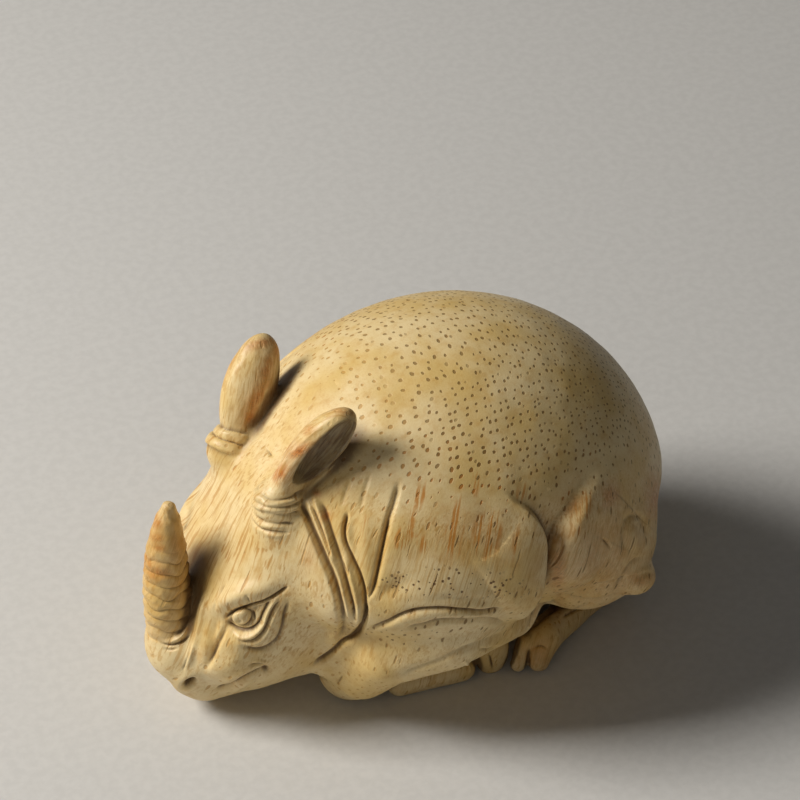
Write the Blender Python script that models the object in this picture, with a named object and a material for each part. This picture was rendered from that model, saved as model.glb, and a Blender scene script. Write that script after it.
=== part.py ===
"""A rhinoceros carved from one piece of bamboo root, lying with its head down.

The carving is one solid: body, folded legs, head, horn and ears. It is laid out as
plain balls and limbs, fused by a voxel remesh, and every vertex then settles on the
blended surface of the same masses; this is done twice. The underside is cut flat, so it stands by itself.
"""

import bmesh
import bpy
import numpy as np
from mathutils import Matrix, Vector

# Sizes in millimetres: +X to the rump, -X to the nose, -Y the flank in view, +Z up, Z = 0 the ground.
MIDDLE_X = -1.565  # halfway along the finished carving, which is set over the origin
BODY_AT = (3.5, 0.0, 17.8)
BODY_HALF = (26.1, 22.9, 24.8)
BODY_UNDER_HALF = 22.0
UNDERCUT_START, UNDERCUT_SLOPE, UNDERCUT_LONG, UNDERCUT_SOFT = 2.0, 1.03, 1.3, 4.5

POLL = (-19.4, 0.0, 31.1)
FACE_LEAN_DEG = 27.0

HORN_ROOT, HORN_TIP = (-29.9, 0.0, 10.5), (-29.3, 0.0, 29.6)
HORN_RADIUS, HORN_BOW = 2.62, 0.35

EAR_LENGTH, EAR_LEAF_AT = 13.7, 8.1
EAR_HALF = (6.8, 3.05, 2.25)
EAR_CUT = 0.80
EAR_HOLLOW_AT, EAR_HOLLOW_HALF = (9.0, 0.0, 1.0), (5.3, 2.15, 2.45)
EAR_STALK_RADII = (2.1, 2.4, 1.7)
EAR_NECK_UP, EAR_NECK_BACK = 2.2, 0.55
EAR_OPENING = (0.05, -0.96, -0.20)
NEAR_EAR = ((-18.9, -5.6, 31.4), (-12.0, -8.7, 42.6), (-19.0, -6.1, 28.4))  # root, tip, foot
FAR_EAR = ((-19.7, -6.0, 29.8), (-13.7, -9.8, 40.3), (-19.1, -5.1, 28.0))


def unit(a):
    a = np.array(a, float)
    return a / np.linalg.norm(a)


LEAN = np.radians(FACE_LEAN_DEG)
HEAD_AXES = np.array(
    [[np.cos(LEAN), 0, -np.sin(LEAN)], [0, 1, 0], [np.sin(LEAN), 0, np.cos(LEAN)]]
)
WORLD_AXES = np.eye(3)


def on_head(back, side, up):
    """A place given from the poll: behind the plane of the face, aside, and up along it."""
    return tuple(np.array(POLL) + np.array([back, side, up]) @ HEAD_AXES)


def horn_line(count=12):
    """The horn's axis and radius, bowed a little forward: (x, y, z, r)."""
    rows = []
    for i in range(count):
        t = i / (count - 1)
        at = np.array(HORN_ROOT) * (1 - t) + np.array(HORN_TIP) * t
        at[0] -= HORN_BOW * 4 * t * (1 - t)
        swell = 0.84 + 0.16 * np.sin(min(t / 0.34, 1) * np.pi / 2)
        taper = np.sqrt(max(1 - max(t - 0.30, 0) ** 1.9 / 0.56, 0.0))
        rows.append((*at, max(HORN_RADIUS * swell * taper, 0.75)))
    return rows


def ear_axes(root, tip):
    along = unit(np.subtract(tip, root))
    out = np.array(EAR_OPENING)
    out = unit(out - (out @ along) * along)
    return np.array([along, np.cross(along, out), out])


# Each mass: name, kind, shape, how softly it joins. A ball is centre, half sizes, axes and squareness;
# a limb is a run of (x, y, z, radius). Those off the middle are on both sides.
MASSES = [
    ("belly", "ball", ((4, 0, 5.0), (16, 7.5, 8.0), WORLD_AXES, 2), 3.0),
    ("rump", "ball", ((17.5, 0, 9.5), (9.5, 7.0, 8.0), WORLD_AXES, 2), 3.0),
    ("haunch", "ball", ((19.5, -4.5, 8.0), (7.0, 4.5, 6.0), WORLD_AXES, 2), 2.0),
    ("upper_arm", "ball", ((-2.0, -11.0, 22.0), (12.3, 10.3, 8.4), WORLD_AXES, 2), 2.0),
    ("forearm", "limb", [(5.0, -15.6, 13.0, 2.3), (-3.5, -16.8, 15.1, 4.1), (-9.5, -14.0, 12.4, 3.9), (-10.8, -9.8, 6.6, 3.6), (-10.6, -6.5, 3.9, 3.9)], 3.0),
    ("foreleg", "limb", [(-5.8, -9.0, 1.4, 1.5), (1.6, -9.9, 1.6, 1.6)], 0.4),
    ("forefoot", "ball", ((5.4, -9.8, 3.0), (2.1, 1.9, 3.6), WORLD_AXES, 2), 0.6),
    ("thigh", "ball", ((15.5, -10.8, 18.6), (8.7, 9.2, 9.4), WORLD_AXES, 2), 1.5),
    ("hock", "ball", ((25.3, -6.2, 4.8), (2.2, 2.3, 2.5), WORLD_AXES, 2), 0.8),
    ("heel", "ball", ((18.9, -18.7, 16.2), (2.2, 1.9, 1.9), WORLD_AXES, 2), 1.2),
    ("shank", "limb", [(23.5, -5.2, 3.0, 1.8), (18.4, -6.5, 1.9, 1.9), (11.8, -10.6, 3.3, 2.1)], 0.8),
    ("big_toe", "limb", [(11.4, -11.2, 3.3, 1.9), (10.2, -12.4, 1.5, 1.3)], 0.5),
    ("small_toe", "limb", [(9.6, -10.6, 2.6, 1.4), (7.9, -11.7, 1.2, 0.9)], 0.4),
    ("tail", "limb", [(28.2, 0, 20.5, 1.3), (28.1, 0, 15.0, 1.2), (26.4, -0.2, 10.5, 1.4), (25.6, -0.4, 8.0, 0.9)], 0.8),
    ("skull", "ball", (on_head(7.6, 0, -7.0), (8.5, 10.6, 10.5), HEAD_AXES, 2.8), 2.0),
    ("face", "ball", (on_head(6.6, 0, -16.0), (7.2, 9.6, 9.6), HEAD_AXES, 2.7), 3.0),
    ("muzzle", "ball", (on_head(5.6, 0, -23.8), (5.4, 4.9, 5.8), HEAD_AXES, 2), 2.5),
    ("cheek", "ball", ((-16.5, -4.2, 14.5), (7.5, 6.0, 9.0), WORLD_AXES, 2), 2.2),
    ("jaw", "limb", [(-26.3, -1.0, 4.7, 3.1), (-21.0, -1.6, 7.0, 4.8), (-15.5, -2.5, 10.5, 6.5)], 2.0),
    ("throat", "limb", [(-13.2, -10.6, 14.5, 2.5), (-13.6, -8.5, 8.0, 2.2)], 1.5),
    ("nose", "ball", ((-28.8, 0, 9.4), (3.9, 4.3, 4.6), WORLD_AXES, 2), 1.5),
    ("horn", "limb", horn_line(), 0.9),
]


def soft_min(a, b, k):
    h = np.maximum(k - np.abs(a - b), 0) / k
    return np.minimum(a, b) - h * h * (k * 0.25)


def soft_max(a, b, k):
    return -soft_min(-a, -b, k)


def ball(p, centre, half, axes, square):
    """About how far each point is outside a ball with these half sizes; a squareness over 2 makes it boxier."""
    q = (p - np.array(centre, np.float32)) @ np.asarray(axes, np.float32).T
    half = np.array(half, np.float32)
    a = np.abs(q / half) + 1e-6
    if square == 2:
        k0 = np.sqrt((a * a).sum(1))
        slope = np.sqrt(((a / half) ** 2).sum(1)) / k0
    else:
        k0 = (a**square).sum(1) ** (1 / square)
        slope = np.sqrt(((a ** (square - 1) / half) ** 2).sum(1)) * k0 ** (1 - square)
    return (k0 - 1) / slope


def limb(p, rows):
    """How far each point is outside a run of tapered round bars."""
    best = None
    for a, b in zip(rows[:-1], rows[1:]):
        start = np.array(a[:3], np.float32)
        run = np.array(b[:3], np.float32) - start
        q = p - start
        t = np.clip((q @ run) / (run @ run), 0, 1)
        d = np.sqrt(((q - t[:, None] * run) ** 2).sum(1)) - (a[3] + (b[3] - a[3]) * t)
        best = d if best is None else np.minimum(best, d)
    return best


def ear_place(p, root, tip):
    """Where points come in an ear's own axes: along it, across it and out of its opening."""
    e = (p - np.array(root, np.float32)) @ ear_axes(root, tip).astype(np.float32).T
    e[:, 0] *= EAR_LENGTH / np.linalg.norm(np.subtract(tip, root))
    return e


def ear_stalk(root, tip, foot):
    neck = np.array(root) + EAR_NECK_UP / EAR_LENGTH * np.subtract(tip, root)
    neck = neck - EAR_NECK_BACK * ear_axes(root, tip)[2]
    return [(*place, radius) for place, radius in zip((foot, root, neck), EAR_STALK_RADII)]


def ear(p, root, tip, foot):
    """A cupped leaf, and the short stalk it is on."""
    e = ear_place(p, root, tip)
    leaf = ball(e, (EAR_LEAF_AT, 0, -0.4), EAR_HALF, WORLD_AXES, 2)
    hollow = ball(e, EAR_HOLLOW_AT, EAR_HOLLOW_HALF, WORLD_AXES, 2)
    leaf = soft_max(soft_max(leaf, e[:, 2] - EAR_CUT, 0.4), -hollow, 0.3)
    return leaf, soft_max(limb(p, ear_stalk(root, tip, foot)), -hollow, 0.3)


def torso(q):
    t = q - np.array(BODY_AT, np.float32)
    t[:, 2] = np.where(t[:, 2] < 0, t[:, 2] * (BODY_HALF[2] / BODY_UNDER_HALF), t[:, 2])
    d = ball(t, (0, 0, 0), BODY_HALF, WORLD_AXES, 2)
    x, y, z = q.T
    out = np.sqrt(((x - BODY_AT[0]) / UNDERCUT_LONG) ** 2 + y * y + 4)
    under = (out - UNDERCUT_START - UNDERCUT_SLOPE * z) / np.hypot(1, UNDERCUT_SLOPE)
    return soft_max(d, under, UNDERCUT_SOFT)


def form(p):
    """How far each point is outside the carving, in millimetres; negative inside."""
    q = p.astype(np.float32).copy()
    near_side = q[:, 1] < 0
    q[:, 1] = -np.abs(q[:, 1])
    d = torso(q)
    for name, kind, shape, soft in MASSES:
        d = soft_min(d, ball(q, *shape) if kind == "ball" else limb(q, shape), soft)
    near, far = ear(q, *NEAR_EAR), ear(q, *FAR_EAR)
    leaf, stalk = np.where(near_side, near[0], far[0]), np.where(near_side, near[1], far[1])
    d = soft_min(soft_min(d, stalk, 1.8), leaf, 0.7)
    return soft_max(d, -q[:, 2], 0.3)


MM = 0.001  # Blender units are metres
FUSE_VOXEL = 0.36 * MM
SETTLE_STEPS = (5, 4)  # after each fusing
EASE = 0.25
KEEP_SHARE = 0.043
BASE_CUT = 0.12  # the underside is planed flat up to here

NODE = "rhino_carving"
COLOUR = (0.66, 0.50, 0.27, 1.0)


def clear_scene():
    for obj in list(bpy.data.objects):
        bpy.data.objects.remove(obj, do_unlink=True)


def add_ball(bm, centre, half, axes, square, sides=4):
    """An icosphere stretched to its half sizes and turned to its axes."""
    turn = Matrix([list(row) for row in np.asarray(axes, float)]).transposed().to_4x4()
    place = Matrix.Translation(Vector(centre)) @ turn @ Matrix.Diagonal((*half, 1.0))
    made = bmesh.ops.create_icosphere(bm, subdivisions=sides, radius=1.0)
    for vert in made["verts"]:
        if square > 2:
            a = np.abs(np.array(vert.co)) + 1e-9
            vert.co = vert.co / float((a**square).sum() ** (1 / square))
        vert.co = place @ vert.co


def add_limb(bm, rows):
    """Each stretch is the hull of the balls at its two ends."""
    for a, b in zip(rows[:-1], rows[1:]):
        piece = bmesh.new()
        for end in (a, b):
            bmesh.ops.create_icosphere(
                piece, subdivisions=3, radius=end[3], matrix=Matrix.Translation(Vector(end[:3]))
            )
        hull = bmesh.ops.convex_hull(piece, input=piece.verts)
        spare = [e for e in hull["geom_interior"] if isinstance(e, bmesh.types.BMVert)]
        bmesh.ops.delete(piece, geom=spare, context="VERTS")
        mesh = bpy.data.meshes.new("stretch")
        piece.to_mesh(mesh)
        piece.free()
        bm.from_mesh(mesh)
        bpy.data.meshes.remove(mesh)


def add_body(bm):
    """The body's ball, drawn in towards its middle where it is undercut."""
    made = bmesh.ops.create_icosphere(bm, subdivisions=6, radius=1.0)["verts"]
    way = np.array([vert.co for vert in made], np.float32)
    low, high = np.zeros(len(way), np.float32), np.full(len(way), 60, np.float32)
    for _ in range(24):
        middle = (low + high) / 2
        inside = torso(np.array(BODY_AT, np.float32) + way * middle[:, None]) < 0
        low, high = np.where(inside, middle, low), np.where(inside, high, middle)
    for vert, direction, reach in zip(made, way, low):
        vert.co = Vector(BODY_AT) + Vector(direction) * float(reach)


def add_ear(bm, root, tip, foot):
    """A leaf dished on its open side, on a stalk."""
    axes = ear_axes(root, tip)
    stretch = np.linalg.norm(np.subtract(tip, root)) / EAR_LENGTH
    for vert in bmesh.ops.create_icosphere(bm, subdivisions=5, radius=1.0)["verts"]:
        u, w, t = np.array(vert.co) * np.array(EAR_HALF) + np.array([EAR_LEAF_AT, 0, -0.4])
        if vert.co.z > 0:
            across = ((u - EAR_HOLLOW_AT[0]) / EAR_HOLLOW_HALF[0]) ** 2
            across += ((w - EAR_HOLLOW_AT[1]) / EAR_HOLLOW_HALF[1]) ** 2
            t = min(t, EAR_CUT, EAR_HOLLOW_AT[2] - EAR_HOLLOW_HALF[2] * np.sqrt(max(1 - across, 0)))
        vert.co = Vector(np.array(root) + np.array([u * stretch, w, t]) @ axes)
    bottom, middle, top = ear_stalk(root, tip, foot)
    add_limb(bm, [bottom, middle, (*(np.array(top[:3]) - 0.9 * axes[2]), 0.5 * top[3])])


def mirrored(rows):
    return [(x, -y, z, r) for x, y, z, r in rows]


def lay_out():
    """The masses as overlapping Blender primitives, in one mesh."""
    bm = bmesh.new()
    add_body(bm)
    for name, kind, shape, soft in MASSES:
        if kind == "ball":
            centre, half, axes, square = shape
            add_ball(bm, centre, half, axes, square)
            if centre[1]:
                add_ball(bm, (centre[0], -centre[1], centre[2]), half, axes, square)
        else:
            add_limb(bm, shape)
            if any(row[1] for row in shape):
                add_limb(bm, mirrored(shape))
    before = len(bm.verts)
    add_ear(bm, *NEAR_EAR)
    bm.verts.ensure_lookup_table()
    after = len(bm.verts)
    add_ear(bm, *FAR_EAR)
    bm.verts.ensure_lookup_table()
    far = list(bm.verts)[after:]
    for vert in far:
        vert.co.y = -vert.co.y
    bmesh.ops.reverse_faces(bm, faces=list({f for v in far for f in v.link_faces}))
    bmesh.ops.scale(bm, vec=(MM, MM, MM), verts=bm.verts)
    mesh = bpy.data.meshes.new(NODE)
    bm.to_mesh(mesh)
    bm.free()
    return mesh


def fused(obj, voxel):
    """The object's mesh after a voxel remesh."""
    fuse = obj.modifiers.new("fuse", "REMESH")
    fuse.mode = "VOXEL"
    fuse.voxel_size = voxel
    graph = bpy.context.evaluated_depsgraph_get()
    mesh = bpy.data.meshes.new_from_object(obj.evaluated_get(graph))
    obj.modifiers.remove(fuse)
    old = obj.data
    obj.data = mesh
    bpy.data.meshes.remove(old)


def slope(p, step=0.05):
    """The form's gradient, from its corners of a small tetrahedron."""
    corners = np.array([[1, -1, -1], [-1, -1, 1], [-1, 1, -1], [1, 1, 1]], np.float32)
    return sum(c * form(p + step * c)[:, None] for c in corners) / (4 * step)


def settle(obj, steps, ease):
    """Moves each vertex to the blended surface, and evens the mesh out along it."""
    mesh = obj.data
    count = len(mesh.vertices)
    p = np.empty(count * 3, np.float32)
    mesh.vertices.foreach_get("co", p)
    p = p.reshape(-1, 3) / MM
    ends = np.empty(len(mesh.edges) * 2, np.int32)
    mesh.edges.foreach_get("vertices", ends)
    a, b = ends.reshape(-1, 2).T
    shared = (np.bincount(a, minlength=count) + np.bincount(b, minlength=count))[:, None]
    for step in range(steps):
        d = form(p)
        g = slope(p)
        size = np.maximum((g * g).sum(1), 0.2)
        p = p - np.clip(d / size, -1.5, 1.5)[:, None] * g
        if step < steps - 2:
            n = g / np.sqrt(size)[:, None]
            total = np.zeros_like(p)
            for axis in range(3):
                total[:, axis] = np.bincount(a, p[b, axis], count) + np.bincount(b, p[a, axis], count)
            drift = total / shared - p
            drift -= (drift * n).sum(1)[:, None] * n
            p = p + ease * drift
    mesh.vertices.foreach_set("co", (p * MM).astype(np.float32).ravel())
    mesh.update()


def thinned(obj, share):
    thin = obj.modifiers.new("thin", "DECIMATE")
    thin.decimate_type = "COLLAPSE"
    thin.ratio = share
    thin.use_collapse_triangulate = True
    graph = bpy.context.evaluated_depsgraph_get()
    mesh = bpy.data.meshes.new_from_object(obj.evaluated_get(graph))
    obj.modifiers.remove(thin)
    old = obj.data
    obj.data = mesh
    bpy.data.meshes.remove(old)


def keep_outer_body(obj):
    """Drops the shut pockets that the fusing leaves between two masses."""
    bm = bmesh.new()
    bm.from_mesh(obj.data)
    left = set(bm.verts)
    bodies = []
    while left:
        body, edge = set(), [left.pop()]
        while edge:
            vert = edge.pop()
            body.add(vert)
            for link in vert.link_edges:
                other = link.other_vert(vert)
                if other in left:
                    left.remove(other)
                    edge.append(other)
        bodies.append(body)
    outer = max(bodies, key=len)
    bmesh.ops.delete(bm, geom=[v for v in bm.verts if v not in outer], context="VERTS")
    bm.to_mesh(obj.data)
    bm.free()


def plane_underside(obj, height):
    """Cuts the underside flat, and sets it on Z = 0."""
    bm = bmesh.new()
    bm.from_mesh(obj.data)
    cut = bmesh.ops.bisect_plane(
        bm,
        geom=bm.verts[:] + bm.edges[:] + bm.faces[:],
        plane_co=(0, 0, height),
        plane_no=(0, 0, -1),
        clear_outer=True,
        dist=1e-7,
    )
    rim = [e for e in cut["geom_cut"] if isinstance(e, bmesh.types.BMEdge)]
    bmesh.ops.holes_fill(bm, edges=rim, sides=0)
    bmesh.ops.dissolve_degenerate(bm, dist=2e-6, edges=bm.edges[:])
    for vert in bm.verts:
        if vert.co.z < height + 2e-6:
            vert.co.z = height
        vert.co.z -= height
        vert.co.x -= MIDDLE_X * MM
    bmesh.ops.triangulate(bm, faces=bm.faces[:])
    bmesh.ops.recalc_face_normals(bm, faces=bm.faces[:])
    bm.to_mesh(obj.data)
    bm.free()


def bamboo():
    mat = bpy.data.materials.new("bamboo_root")
    mat.use_nodes = True
    shader = mat.node_tree.nodes["Principled BSDF"]
    shader.inputs["Base Color"].default_value = COLOUR
    shader.inputs["Roughness"].default_value = 0.45
    shader.inputs["Metallic"].default_value = 0.0
    return mat


def main():
    clear_scene()
    carving = bpy.data.objects.new(NODE, lay_out())
    bpy.context.scene.collection.objects.link(carving)
    for steps in SETTLE_STEPS:
        fused(carving, FUSE_VOXEL)
        settle(carving, steps, EASE)
    thinned(carving, KEEP_SHARE)
    keep_outer_body(carving)
    plane_underside(carving, BASE_CUT * MM)
    carving.data.materials.clear()
    carving.data.materials.append(bamboo())
    carving.data.shade_smooth()


main()
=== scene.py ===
"""A rhinoceros carved from bamboo root, lying with its head down: the form, its carved relief and its finish."""

import math

import bpy
import numpy as np
from mathutils import Matrix, Vector


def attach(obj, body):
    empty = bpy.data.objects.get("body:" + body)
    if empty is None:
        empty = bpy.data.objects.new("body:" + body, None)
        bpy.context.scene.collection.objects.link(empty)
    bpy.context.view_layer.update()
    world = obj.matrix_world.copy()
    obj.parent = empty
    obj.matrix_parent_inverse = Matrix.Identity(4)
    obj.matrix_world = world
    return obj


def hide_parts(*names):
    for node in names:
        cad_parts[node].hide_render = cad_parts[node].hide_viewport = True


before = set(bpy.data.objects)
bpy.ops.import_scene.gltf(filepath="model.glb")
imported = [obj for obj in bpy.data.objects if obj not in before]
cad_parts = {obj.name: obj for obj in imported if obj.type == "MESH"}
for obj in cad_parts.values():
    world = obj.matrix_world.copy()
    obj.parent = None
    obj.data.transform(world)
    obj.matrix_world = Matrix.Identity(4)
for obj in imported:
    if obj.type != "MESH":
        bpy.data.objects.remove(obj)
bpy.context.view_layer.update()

MM = 0.001  # Blender units are metres; the form is worked out in millimetres

# Sizes in millimetres: +X to the rump, -X to the nose, -Y the flank in view, +Z up, Z = 0 the ground.
MIDDLE_X = -1.565  # halfway along the finished carving, which is set over the origin
BODY_AT = (3.5, 0.0, 17.8)
BODY_HALF = (26.1, 22.9, 24.8)
BODY_UNDER_HALF = 22.0
UNDERCUT_START, UNDERCUT_SLOPE, UNDERCUT_LONG, UNDERCUT_SOFT = 2.0, 1.03, 1.3, 4.5

POLL = (-19.4, 0.0, 31.1)
FACE_LEAN_DEG = 27.0

HORN_ROOT, HORN_TIP = (-29.9, 0.0, 10.5), (-29.3, 0.0, 29.6)
HORN_RADIUS, HORN_BOW = 2.62, 0.35

EAR_LENGTH, EAR_LEAF_AT = 13.7, 8.1
EAR_HALF = (6.8, 3.05, 2.25)
EAR_CUT = 0.80
EAR_HOLLOW_AT, EAR_HOLLOW_HALF = (9.0, 0.0, 1.0), (5.3, 2.15, 2.45)
EAR_STALK_RADII = (2.1, 2.4, 1.7)
EAR_NECK_UP, EAR_NECK_BACK = 2.2, 0.55
EAR_OPENING = (0.05, -0.96, -0.20)
NEAR_EAR = ((-18.9, -5.6, 31.4), (-12.0, -8.7, 42.6), (-19.0, -6.1, 28.4))  # root, tip, foot
FAR_EAR = ((-19.7, -6.0, 29.8), (-13.7, -9.8, 40.3), (-19.1, -5.1, 28.0))


def unit(a):
    a = np.array(a, float)
    return a / np.linalg.norm(a)


LEAN = np.radians(FACE_LEAN_DEG)
HEAD_AXES = np.array(
    [[np.cos(LEAN), 0, -np.sin(LEAN)], [0, 1, 0], [np.sin(LEAN), 0, np.cos(LEAN)]]
)
WORLD_AXES = np.eye(3)


def on_head(back, side, up):
    """A place given from the poll: behind the plane of the face, aside, and up along it."""
    return tuple(np.array(POLL) + np.array([back, side, up]) @ HEAD_AXES)


def horn_line(count=12):
    """The horn's axis and radius, bowed a little forward: (x, y, z, r)."""
    rows = []
    for i in range(count):
        t = i / (count - 1)
        at = np.array(HORN_ROOT) * (1 - t) + np.array(HORN_TIP) * t
        at[0] -= HORN_BOW * 4 * t * (1 - t)
        swell = 0.84 + 0.16 * np.sin(min(t / 0.34, 1) * np.pi / 2)
        taper = np.sqrt(max(1 - max(t - 0.30, 0) ** 1.9 / 0.56, 0.0))
        rows.append((*at, max(HORN_RADIUS * swell * taper, 0.75)))
    return rows


def ear_axes(root, tip):
    along = unit(np.subtract(tip, root))
    out = np.array(EAR_OPENING)
    out = unit(out - (out @ along) * along)
    return np.array([along, np.cross(along, out), out])


# Each mass: name, kind, shape, how softly it joins. A ball is centre, half sizes, axes and squareness;
# a limb is a run of (x, y, z, radius). Those off the middle are on both sides.
MASSES = [
    ("belly", "ball", ((4, 0, 5.0), (16, 7.5, 8.0), WORLD_AXES, 2), 3.0),
    ("rump", "ball", ((17.5, 0, 9.5), (9.5, 7.0, 8.0), WORLD_AXES, 2), 3.0),
    ("haunch", "ball", ((19.5, -4.5, 8.0), (7.0, 4.5, 6.0), WORLD_AXES, 2), 2.0),
    ("upper_arm", "ball", ((-2.0, -11.0, 22.0), (12.3, 10.3, 8.4), WORLD_AXES, 2), 2.0),
    ("forearm", "limb", [(5.0, -15.6, 13.0, 2.3), (-3.5, -16.8, 15.1, 4.1), (-9.5, -14.0, 12.4, 3.9), (-10.8, -9.8, 6.6, 3.6), (-10.6, -6.5, 3.9, 3.9)], 3.0),
    ("foreleg", "limb", [(-5.8, -9.0, 1.4, 1.5), (1.6, -9.9, 1.6, 1.6)], 0.4),
    ("forefoot", "ball", ((5.4, -9.8, 3.0), (2.1, 1.9, 3.6), WORLD_AXES, 2), 0.6),
    ("thigh", "ball", ((15.5, -10.8, 18.6), (8.7, 9.2, 9.4), WORLD_AXES, 2), 1.5),
    ("hock", "ball", ((25.3, -6.2, 4.8), (2.2, 2.3, 2.5), WORLD_AXES, 2), 0.8),
    ("heel", "ball", ((18.9, -18.7, 16.2), (2.2, 1.9, 1.9), WORLD_AXES, 2), 1.2),
    ("shank", "limb", [(23.5, -5.2, 3.0, 1.8), (18.4, -6.5, 1.9, 1.9), (11.8, -10.6, 3.3, 2.1)], 0.8),
    ("big_toe", "limb", [(11.4, -11.2, 3.3, 1.9), (10.2, -12.4, 1.5, 1.3)], 0.5),
    ("small_toe", "limb", [(9.6, -10.6, 2.6, 1.4), (7.9, -11.7, 1.2, 0.9)], 0.4),
    ("tail", "limb", [(28.2, 0, 20.5, 1.3), (28.1, 0, 15.0, 1.2), (26.4, -0.2, 10.5, 1.4), (25.6, -0.4, 8.0, 0.9)], 0.8),
    ("skull", "ball", (on_head(7.6, 0, -7.0), (8.5, 10.6, 10.5), HEAD_AXES, 2.8), 2.0),
    ("face", "ball", (on_head(6.6, 0, -16.0), (7.2, 9.6, 9.6), HEAD_AXES, 2.7), 3.0),
    ("muzzle", "ball", (on_head(5.6, 0, -23.8), (5.4, 4.9, 5.8), HEAD_AXES, 2), 2.5),
    ("cheek", "ball", ((-16.5, -4.2, 14.5), (7.5, 6.0, 9.0), WORLD_AXES, 2), 2.2),
    ("jaw", "limb", [(-26.3, -1.0, 4.7, 3.1), (-21.0, -1.6, 7.0, 4.8), (-15.5, -2.5, 10.5, 6.5)], 2.0),
    ("throat", "limb", [(-13.2, -10.6, 14.5, 2.5), (-13.6, -8.5, 8.0, 2.2)], 1.5),
    ("nose", "ball", ((-28.8, 0, 9.4), (3.9, 4.3, 4.6), WORLD_AXES, 2), 1.5),
    ("horn", "limb", horn_line(), 0.9),
]


def soft_min(a, b, k):
    h = np.maximum(k - np.abs(a - b), 0) / k
    return np.minimum(a, b) - h * h * (k * 0.25)


def soft_max(a, b, k):
    return -soft_min(-a, -b, k)


def ball(p, centre, half, axes, square):
    """About how far each point is outside a ball with these half sizes; a squareness over 2 makes it boxier."""
    q = (p - np.array(centre, np.float32)) @ np.asarray(axes, np.float32).T
    half = np.array(half, np.float32)
    a = np.abs(q / half) + 1e-6
    if square == 2:
        k0 = np.sqrt((a * a).sum(1))
        slope = np.sqrt(((a / half) ** 2).sum(1)) / k0
    else:
        k0 = (a**square).sum(1) ** (1 / square)
        slope = np.sqrt(((a ** (square - 1) / half) ** 2).sum(1)) * k0 ** (1 - square)
    return (k0 - 1) / slope


def limb(p, rows):
    """How far each point is outside a run of tapered round bars."""
    best = None
    for a, b in zip(rows[:-1], rows[1:]):
        start = np.array(a[:3], np.float32)
        run = np.array(b[:3], np.float32) - start
        q = p - start
        t = np.clip((q @ run) / (run @ run), 0, 1)
        d = np.sqrt(((q - t[:, None] * run) ** 2).sum(1)) - (a[3] + (b[3] - a[3]) * t)
        best = d if best is None else np.minimum(best, d)
    return best


def ear_place(p, root, tip):
    """Where points come in an ear's own axes: along it, across it and out of its opening."""
    e = (p - np.array(root, np.float32)) @ ear_axes(root, tip).astype(np.float32).T
    e[:, 0] *= EAR_LENGTH / np.linalg.norm(np.subtract(tip, root))
    return e


def ear_stalk(root, tip, foot):
    neck = np.array(root) + EAR_NECK_UP / EAR_LENGTH * np.subtract(tip, root)
    neck = neck - EAR_NECK_BACK * ear_axes(root, tip)[2]
    return [(*place, radius) for place, radius in zip((foot, root, neck), EAR_STALK_RADII)]


def ear(p, root, tip, foot):
    """A cupped leaf, and the short stalk it is on."""
    e = ear_place(p, root, tip)
    leaf = ball(e, (EAR_LEAF_AT, 0, -0.4), EAR_HALF, WORLD_AXES, 2)
    hollow = ball(e, EAR_HOLLOW_AT, EAR_HOLLOW_HALF, WORLD_AXES, 2)
    leaf = soft_max(soft_max(leaf, e[:, 2] - EAR_CUT, 0.4), -hollow, 0.3)
    return leaf, soft_max(limb(p, ear_stalk(root, tip, foot)), -hollow, 0.3)


def torso(q):
    t = q - np.array(BODY_AT, np.float32)
    t[:, 2] = np.where(t[:, 2] < 0, t[:, 2] * (BODY_HALF[2] / BODY_UNDER_HALF), t[:, 2])
    d = ball(t, (0, 0, 0), BODY_HALF, WORLD_AXES, 2)
    x, y, z = q.T
    out = np.sqrt(((x - BODY_AT[0]) / UNDERCUT_LONG) ** 2 + y * y + 4)
    under = (out - UNDERCUT_START - UNDERCUT_SLOPE * z) / np.hypot(1, UNDERCUT_SLOPE)
    return soft_max(d, under, UNDERCUT_SOFT)


def form(p):
    """How far each point is outside the carving, in millimetres; negative inside."""
    q = p.astype(np.float32).copy()
    near_side = q[:, 1] < 0
    q[:, 1] = -np.abs(q[:, 1])
    d = torso(q)
    for name, kind, shape, soft in MASSES:
        d = soft_min(d, ball(q, *shape) if kind == "ball" else limb(q, shape), soft)
    near, far = ear(q, *NEAR_EAR), ear(q, *FAR_EAR)
    leaf, stalk = np.where(near_side, near[0], far[0]), np.where(near_side, near[1], far[1])
    d = soft_min(soft_min(d, stalk, 1.8), leaf, 0.7)
    return soft_max(d, -q[:, 2], 0.3)


# ---------------------------------------------------------------- mesh from the form

GRID_STEP = 0.20
GRID_LOW = (-35.0, -25.0, -1.4)
GRID_SIZE = (66.0, 50.0, 47.0)
BLOCK = 5  # grid steps to a block
BLOCK_BAND = 0.5  # how much further out than its own corners a block looks for the surface
BASE_CUT = 0.12  # the underside is planed flat up to here
MOST_TRIANGLES = 196000


def in_parts(work, points, size=60000):
    return np.concatenate([work(points[i : i + size]) for i in range(0, len(points), size)])


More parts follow.
